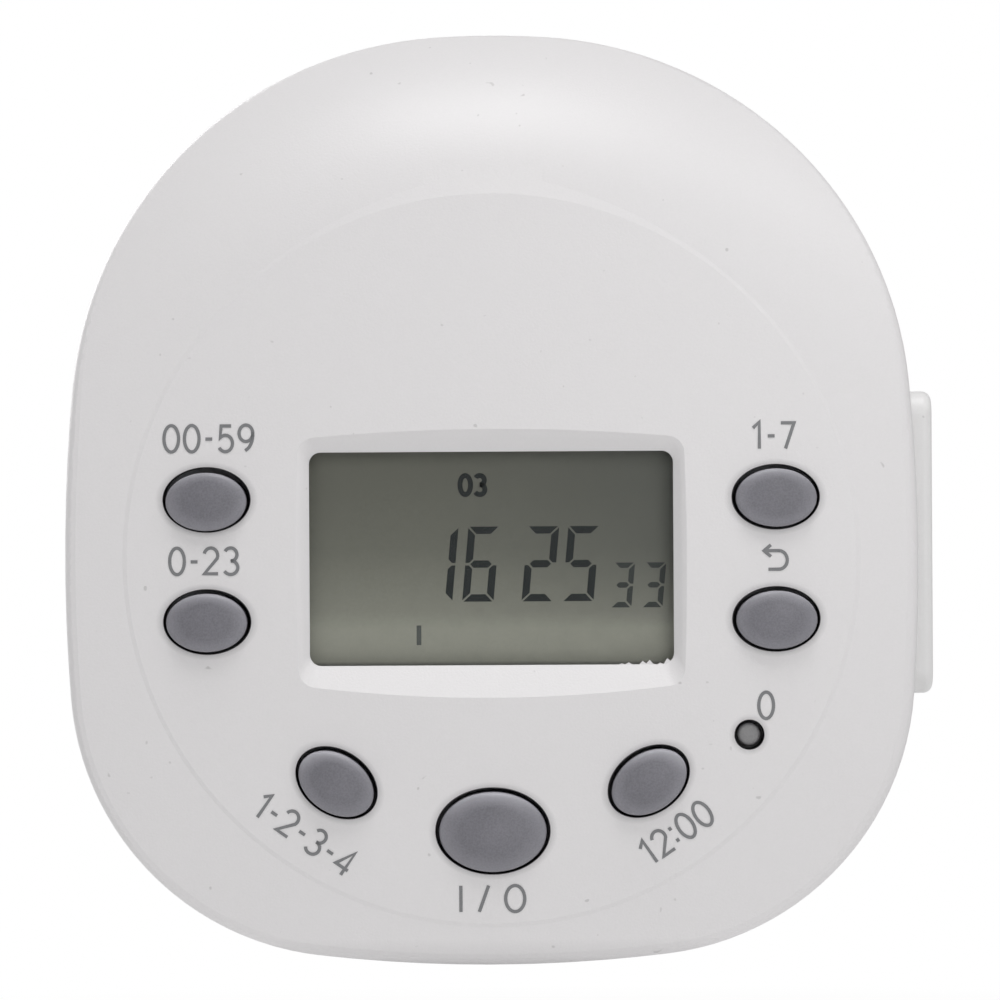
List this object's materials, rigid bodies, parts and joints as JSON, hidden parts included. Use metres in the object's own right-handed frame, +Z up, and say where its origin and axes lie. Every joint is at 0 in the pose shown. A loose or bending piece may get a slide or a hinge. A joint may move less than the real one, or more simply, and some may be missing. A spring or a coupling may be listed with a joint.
{
  "type": "plug-in digital timer",
  "caption": "Plug-in digital timer in an arch-shaped casing, with a display, press keys, flat plug pins behind and a socket outlet on its side.",
  "frame": {"origin": "middle of the plug pin layout, on the pad of the rear cover that rests on the wall socket", "axes": "+Y out of the back along the plug pins, +Z up, +X to the side with the outlet; the display faces -Y"},
  "size_m": [0.0756, 0.0578, 0.0817],
  "materials": {
    "white_casing": "fine matt ABS",
    "white_moulding": "plain nylon",
    "key_grey": "matt, soft grain",
    "clear_window": "clear acrylic",
    "crystal_glass": "grey-green liquid crystal",
    "silver_film": "satin film",
    "grey_rubber": "matt",
    "silicone_rubber": "translucent grey",
    "board_laminate": "paper laminate",
    "black_resin": "epoxy",
    "tinned_steel": "tinned",
    "battery_steel": "nickel plated",
    "relay_case": "moulded",
    "capacitor_case": "moulded",
    "aluminium_can": "sleeved can",
    "blue_coating": "dipped coating",
    "resistor_coating": "cement coating",
    "pin_brass": "machined, nickel flash",
    "sleeve_black": "moulded sleeve",
    "strap_brass": "stamped",
    "screw_steel": "zinc plated"
  },
  "bodies": {
    "housing": {"active_contact": "strap_brass", "active_pin": "pin_brass", "active_sleeve": "sleeve_black", "active_strap": "strap_brass", "backup_battery": "battery_steel", "battery_clip": "tinned_steel", "board_screws": "screw_steel", "case_screws": "screw_steel", "clock_crystal": "tinned_steel", "conductive_strips": "grey_rubber", "contact_carrier": "white_moulding", "control_board": "board_laminate", "controller_chip": "black_resin", "display_window": "clear_window", "driver_transistor": "black_resin", "dropper_capacitor": "capacitor_case", "earth_contact": "strap_brass", "earth_pin": "pin_brass", "earth_strap": "strap_brass", "front_cover": "white_casing", "fusible_resistor": "resistor_coating", "keypad_mat": "silicone_rubber", "lcd_cell": "crystal_glass", "lcd_frame": "white_moulding", "lcd_reflector": "silver_film", "link_header": "black_resin", "link_pins": "tinned_steel", "neutral_contact": "strap_brass", "neutral_pin": "pin_brass", "neutral_sleeve": "sleeve_black", "neutral_strap": "strap_brass", "outlet_plate": "white_casing", "pin_carrier": "white_moulding", "power_board": "board_laminate", "rear_cover": "white_casing", "rectifier_diodes": "black_resin", "relay": "relay_case", "smoothing_capacitor": "aluminium_can", "switched_strap": "strap_brass", "varistor": "blue_coating"},
    "minute_key": {"minute_key": "key_grey"},
    "hour_key": {"hour_key": "key_grey"},
    "week_key": {"week_key": "key_grey"},
    "recall_key": {"recall_key": "key_grey"},
    "program_key": {"program_key": "key_grey"},
    "mode_key": {"mode_key": "key_grey"},
    "clock_key": {"clock_key": "key_grey"},
    "reset_key": {"reset_key": "key_grey"}
  },
  "joints": [
    {"name": "minute_key_press", "type": "slide", "parent": "housing", "child": "minute_key", "axis": [0, 1, 0], "range_m": [0, 0.0008], "stiffness_N_per_m": 300, "deforming": ["keypad_mat"]},
    {"name": "hour_key_press", "type": "slide", "parent": "housing", "child": "hour_key", "axis": [0, 1, 0], "range_m": [0, 0.0008], "stiffness_N_per_m": 300, "deforming": ["keypad_mat"]},
    {"name": "week_key_press", "type": "slide", "parent": "housing", "child": "week_key", "axis": [0, 1, 0], "range_m": [0, 0.0008], "stiffness_N_per_m": 300, "deforming": ["keypad_mat"]},
    {"name": "recall_key_press", "type": "slide", "parent": "housing", "child": "recall_key", "axis": [0, 1, 0], "range_m": [0, 0.0008], "stiffness_N_per_m": 300, "deforming": ["keypad_mat"]},
    {"name": "program_key_press", "type": "slide", "parent": "housing", "child": "program_key", "axis": [0, 1, 0], "range_m": [0, 0.0008], "stiffness_N_per_m": 300, "deforming": ["keypad_mat"]},
    {"name": "mode_key_press", "type": "slide", "parent": "housing", "child": "mode_key", "axis": [0, 1, 0], "range_m": [0, 0.0008], "stiffness_N_per_m": 300, "deforming": ["keypad_mat"]},
    {"name": "clock_key_press", "type": "slide", "parent": "housing", "child": "clock_key", "axis": [0, 1, 0], "range_m": [0, 0.0008], "stiffness_N_per_m": 300, "deforming": ["keypad_mat"]},
    {"name": "reset_key_press", "type": "slide", "parent": "housing", "child": "reset_key", "axis": [0, 1, 0], "range_m": [0, 0.0006], "stiffness_N_per_m": 300, "deforming": ["keypad_mat"]}
  ]
}
